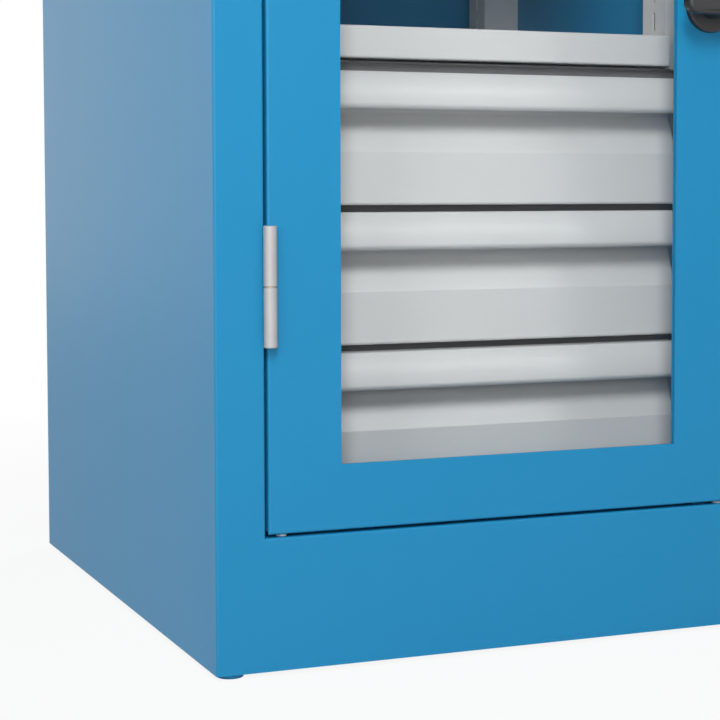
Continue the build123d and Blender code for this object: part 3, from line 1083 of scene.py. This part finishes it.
@dataclass
class Drawers:
    """Three drawers with formed fronts on telescopic runners.

    Attributes:
        count: How many drawers there are.
        sheet: The thickness of a front's sheet.
        sheet_edge: The rounding of its cut edges.
        bend: The radius of its plain bends, at mid-sheet.
        foot: How far its foot reaches back from the face.
        crease: How far the crease lies below the top.
        recess_depth: How far the finger recess goes back.
        recess_height: How far below the top the recess's slope ends.
        face_setback: How far the face lies behind the door's front.
        nose_flat: How far the handle's top runs flat past the face.
        nose_top_radius: The radius of the handle's upper bend.
        nose_top_turn: How far that bend turns.
        nose_front_radius: The radius of the handle's front.
        curl_radius: The radius of the curl under the handle.
        curl_turn: How far the curl turns.
    """

    count: int = 3
    sheet: float = 0.0012
    sheet_edge: float = 0.00025
    bend: float = 0.002
    foot: float = 0.014
    crease: float = 0.0663
    recess_depth: float = 0.016
    recess_height: float = 0.0335
    face_setback: float = 0.1
    nose_flat: float = 0.0048
    nose_top_radius: float = 0.003
    nose_top_turn: float = 48.0
    nose_front_radius: float = 0.037
    curl_radius: float = 0.004
    curl_turn: float = 200.0

    def build(self) -> None:
        """Build the formed fronts."""
        for number in range(1, self.count + 1):
            self.build_front(number)

    def build_front(self, number: int) -> None:
        """Build one front: foot, flat face, crease, finger recess and rolled handle.

        Args:
            number: The drawer's number, from the lowest up.
        """
        low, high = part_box(f"drawer_{number}_front")
        half = self.sheet / 2
        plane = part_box("door_panel")[0].y + self.face_setback
        bottom, top = low.z + half, high.z - half
        face, recess = plane + half, plane + self.recess_depth
        crease, ledge = high.z - self.crease, high.z - self.recess_height
        slope = math.degrees(math.atan2(ledge - crease, recess - face))
        line = SheetLine(plane + self.foot, bottom, heading=180.0)
        line.corner(face, bottom, heading=90.0, radius=self.bend)
        line.corner(face, crease, heading=slope, radius=self.bend)
        line.corner(recess, ledge, heading=90.0, radius=self.bend)
        line.corner(recess, top, heading=180.0, radius=self.bend)
        line.run(line.tip.co.y - plane + self.nose_flat)
        line.bend(self.nose_top_radius, self.nose_top_turn, steps=8)
        line.bend(self.nose_front_radius, 90.0 - self.nose_top_turn, steps=10)
        line.bend(self.curl_radius, self.curl_turn, steps=20)
        piece = line.sheet(low.x, high.x).finish(
            f"formed_front_{number}", f"drawer_{number}", GREY, [f"drawer_{number}_front"]
        )
        thicken(piece, self.sheet, self.sheet_edge)

    def dress(self) -> None:
        """Give the drawers' nodes their finishes."""
        for number in range(1, self.count + 1):
            dress(GREY, f"drawer_{number}_front", f"drawer_{number}_box")
            for member in ("fixed", "middle", "inner"):
                dress(ZINC, f"drawer_{number}_{member}_runners")


@dataclass(frozen=True)
class SoftBox:
    """A rectangular area lamp with its power in watts."""

    name: str
    place: Point
    target: Point
    width: float
    height: float
    power: float

    def hang(self) -> None:
        """Hang the lamp so that it faces its target, out of the camera's sight."""
        data = bpy.data.lights.new(self.name, "AREA")
        data.shape = "RECTANGLE"
        data.size = self.width
        data.size_y = self.height
        data.energy = self.power
        lamp = bpy.data.objects.new(self.name, data)
        lamp.location = self.place
        ahead = Vector(self.target) - Vector(self.place)
        lamp.rotation_euler = ahead.to_track_quat("-Z", "Y").to_euler()
        lamp.visible_camera = False
        bpy.context.scene.collection.objects.link(lamp)


FRONT_AIM: Point = (0.0, -0.2, 0.4)
LAMPS = (
    SoftBox("key_lamp", (-0.81, -2.05, 1.78), FRONT_AIM, width=0.4, height=0.8, power=33.0),
    SoftBox("fill_lamp", (-0.85, -2.15, 0.55), FRONT_AIM, width=0.5, height=0.5, power=7.6),
    SoftBox("left_lamp", (-2.1, -2.0, 1.2), FRONT_AIM, width=0.8, height=0.8, power=13.0),
    SoftBox("top_lamp", (-0.5, -1.5, 3.0), FRONT_AIM, width=0.8, height=0.8, power=7.0),
    SoftBox("glint_lamp", (1.24, -2.33, 2.0), (0.0, -0.2, 0.3), width=0.5, height=0.6, power=6.3),
    SoftBox("side_lamp", (-2.3, 0.7, 1.0), (-0.25, 0.1, 0.4), width=1.0, height=1.0, power=6.6),
    SoftBox("rim_lamp", (-0.8, 2.8, 0.65), (-0.25, 0.0, 0.4), width=1.0, height=1.1, power=3.3),
    SoftBox("back_lamp", (1.9, 2.1, 1.5), (0.1, 0.2, 0.5), width=1.0, height=1.0, power=36.0),
)


@dataclass
class Studio:
    """Pale floor, soft lamps, white surroundings and the camera.

    Attributes:
        floor_half: Half the floor's width.
        floor_colour: The floor's colour in the lamps' light.
        shadow_share: How much of the cabinet's shadow the floor shows.
        shadow_reach: Where the shadow starts and ends to fade, from the cabinet's middle.
        camera_place: Where the camera stands.
        camera_yaw: How far it is turned to the right.
        camera_pitch: How far it is tilted down.
        camera_lens: Its focal length in millimetres.
        camera_shift: Its shift across and up, as a share of the frame.
        sky_strength: How much light comes evenly from all round.
    """

    floor_half: float = 40.0
    floor_colour: Colour = (0.72, 0.72, 0.72)
    shadow_share: float = 0.1
    shadow_reach: tuple[float, float] = (0.5, 1.6)
    camera_place: Point = (-0.6688, -1.6697, 0.3783)
    camera_yaw: float = 23.417
    camera_pitch: float = 3.525
    camera_lens: float = 96.1
    camera_shift: tuple[float, float] = (-0.107, -0.08)
    sky_strength: float = 0.1

    def build(self) -> None:
        """Set up everything round the cabinet."""
        bpy.context.scene.view_settings.view_transform = "Standard"
        self.make_floor()
        self.make_sky()
        for lamp in LAMPS:
            lamp.hang()
        self.make_camera()

    @staticmethod
    def sight(bench: NodeBench) -> NodeSocket:
        """Make a mask of the rays that show the surroundings.

        Args:
            bench: The bench of the floor's or the sky's tree.

        Returns:
            The mask: 1 where they are seen, mirrored or seen through glass.
        """
        path = bench.add("ShaderNodeLightPath")
        seen = bench.math("MAXIMUM", path.outputs["Is Camera Ray"], path.outputs["Is Glossy Ray"])
        return bench.math("MAXIMUM", seen, path.outputs["Is Transmission Ray"])

    def make_floor(self) -> None:
        """Lay the floor."""
        plane = bmesh.new()
        bmesh.ops.create_grid(plane, x_segments=1, y_segments=1, size=self.floor_half)
        mesh = bpy.data.meshes.new("floor")
        plane.to_mesh(mesh)
        plane.free()
        floor = bpy.data.objects.new("floor", mesh)
        bpy.context.scene.collection.objects.link(floor)
        mesh.materials.append(self.floor_material())

    def floor_material(self) -> Material:
        """Make a floor that keeps the cabinet's shadow and fades to white away from it.

        Returns:
            The material.
        """
        material = bpy.data.materials.new("pale_floor")
        material.use_nodes = True
        material.node_tree.nodes.clear()
        bench = NodeBench(material.node_tree)
        matt = bench.add("ShaderNodeBsdfDiffuse", Color=(*self.floor_colour, 1.0))
        glow = bench.add("ShaderNodeEmission", Strength=1.0)
        place = bench.add("ShaderNodeTexCoord")
        reach = bench.add("ShaderNodeVectorMath")
        reach.operation = "LENGTH"
        bench.feed(reach.inputs[0], place.outputs["Object"])
        near, far = self.shadow_reach
        fade = bench.add(
            "ShaderNodeMapRange",
            Value=reach.outputs["Value"],
            From_Min=near,
            From_Max=far,
            To_Min=1.0 - self.shadow_share,
        )
        white = bench.math("MULTIPLY", self.sight(bench), fade.outputs["Result"])
        mix = bench.add("ShaderNodeMixShader", Fac=white)
        bench.feed(mix.inputs[1], matt.outputs["BSDF"])
        bench.feed(mix.inputs[2], glow.outputs["Emission"])
        output = bench.add("ShaderNodeOutputMaterial")
        bench.feed(output.inputs["Surface"], mix.outputs["Shader"])
        return material

    def make_sky(self) -> None:
        """Surround the cabinet with even light that looks white."""
        world = bpy.data.worlds.new("studio")
        bpy.context.scene.world = world
        world.use_nodes = True
        world.node_tree.nodes.clear()
        bench = NodeBench(world.node_tree)
        plain = (1.0, 1.0, 1.0, 1.0)
        light = bench.add("ShaderNodeBackground", Color=plain, Strength=self.sky_strength)
        white = bench.add("ShaderNodeBackground", Color=plain, Strength=1.0)
        mix = bench.add("ShaderNodeMixShader", Fac=self.sight(bench))
        bench.feed(mix.inputs[1], light.outputs["Background"])
        bench.feed(mix.inputs[2], white.outputs["Background"])
        output = bench.add("ShaderNodeOutputWorld")
        bench.feed(output.inputs["Surface"], mix.outputs["Shader"])

    def make_camera(self) -> None:
        """Place the camera at the photograph's view."""
        data = bpy.data.cameras.new("camera")
        data.lens = self.camera_lens
        data.shift_x, data.shift_y = self.camera_shift
        camera = bpy.data.objects.new("camera", data)
        camera.location = self.camera_place
        tilt = math.radians(90.0 - self.camera_pitch)
        camera.rotation_euler = (tilt, 0.0, -math.radians(self.camera_yaw))
        bpy.context.scene.collection.objects.link(camera)
        bpy.context.scene.camera = camera


def main() -> None:
    """Build and dress the sub-assemblies and set up the studio."""
    logging.basicConfig(level=logging.INFO, format="%(name)s %(message)s")
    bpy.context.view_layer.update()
    for assembly in (Carcass(), Hinges(), Door(), Drawers()):
        assembly.build()
        assembly.dress()
    Studio().build()


if __name__ == "__main__":
    main()
